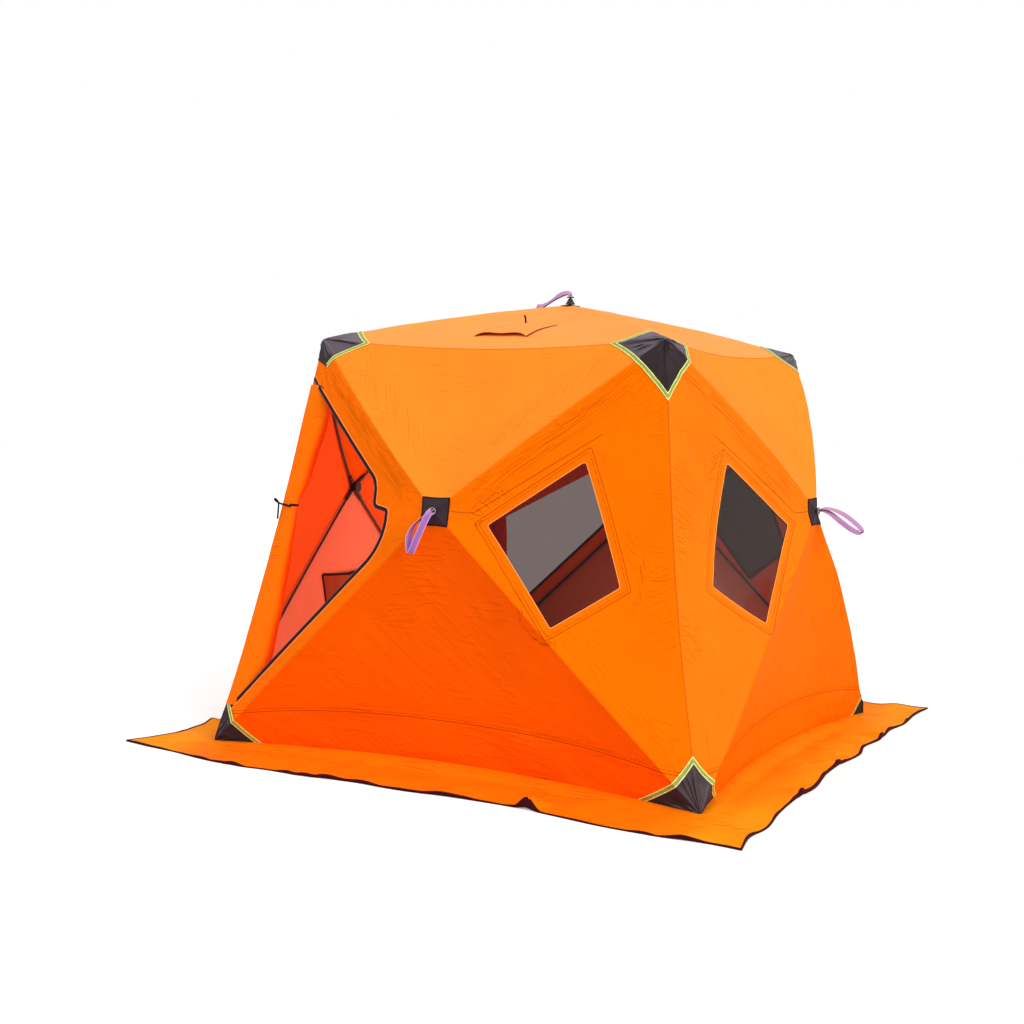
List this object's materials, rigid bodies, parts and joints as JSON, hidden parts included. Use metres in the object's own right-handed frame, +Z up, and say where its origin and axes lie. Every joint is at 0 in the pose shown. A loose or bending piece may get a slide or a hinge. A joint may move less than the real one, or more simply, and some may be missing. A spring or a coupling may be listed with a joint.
{
  "type": "ice fishing hut",
  "caption": "Square pop-up hut of orange fabric for fishing on ice: hubs with flexible poles push out its walls and roof, with zipped doors, tinted windows and a snow skirt.",
  "frame": {"origin": "on the ground, under the middle of the roof", "axes": "+Z up; the front wall, with the open door on its left, faces -Y; +X is to the right seen from the front"},
  "size_m": [2.76, 2.76, 1.9524],
  "materials": {
    "wall_fabric": "coated woven polyester, thin quilted backing",
    "roof_fabric": "coated woven polyester",
    "skirt_fabric": "coated woven polyester",
    "door_fabric": "coated woven polyester",
    "black_fabric": "heavy woven nylon with reflective tape",
    "hub_plastic": "moulded nylon",
    "pole_glassfibre": "pultruded glass fibre",
    "webbing": "woven polypropylene webbing",
    "window_film": "tinted clear film",
    "pocket_mesh": "knitted mesh"
  },
  "bodies": {
    "root": {"front_wall": "wall_fabric", "right_wall": "wall_fabric", "back_wall": "wall_fabric", "left_wall": "wall_fabric", "roof": "roof_fabric", "front_skirt": "skirt_fabric", "right_skirt": "skirt_fabric", "back_skirt": "skirt_fabric", "left_skirt": "skirt_fabric", "front_left_cap": "black_fabric", "front_right_cap": "black_fabric", "back_right_cap": "black_fabric", "back_left_cap": "black_fabric", "front_left_gusset": "black_fabric", "front_right_gusset": "black_fabric", "back_right_gusset": "black_fabric", "back_left_gusset": "black_fabric", "front_hub": "hub_plastic", "right_hub": "hub_plastic", "back_hub": "hub_plastic", "left_hub": "hub_plastic", "roof_hub": "hub_plastic", "front_poles": "pole_glassfibre", "right_poles": "pole_glassfibre", "back_poles": "pole_glassfibre", "left_poles": "pole_glassfibre", "roof_poles": "pole_glassfibre", "front_hub_patch": "black_fabric", "right_hub_patch": "black_fabric", "back_hub_patch": "black_fabric", "left_hub_patch": "black_fabric", "roof_hub_patch": "black_fabric", "front_pull_loop": "webbing", "right_pull_loop": "webbing", "back_pull_loop": "webbing", "left_pull_loop": "webbing", "roof_pull_loop": "webbing", "front_window": "window_film", "right_window": "window_film", "back_window": "window_film", "left_window": "window_film", "front_door_flap": "door_fabric", "back_door_flap": "door_fabric", "roof_vents": "roof_fabric", "storage_pocket": "pocket_mesh"}
  },
  "joints": []
}
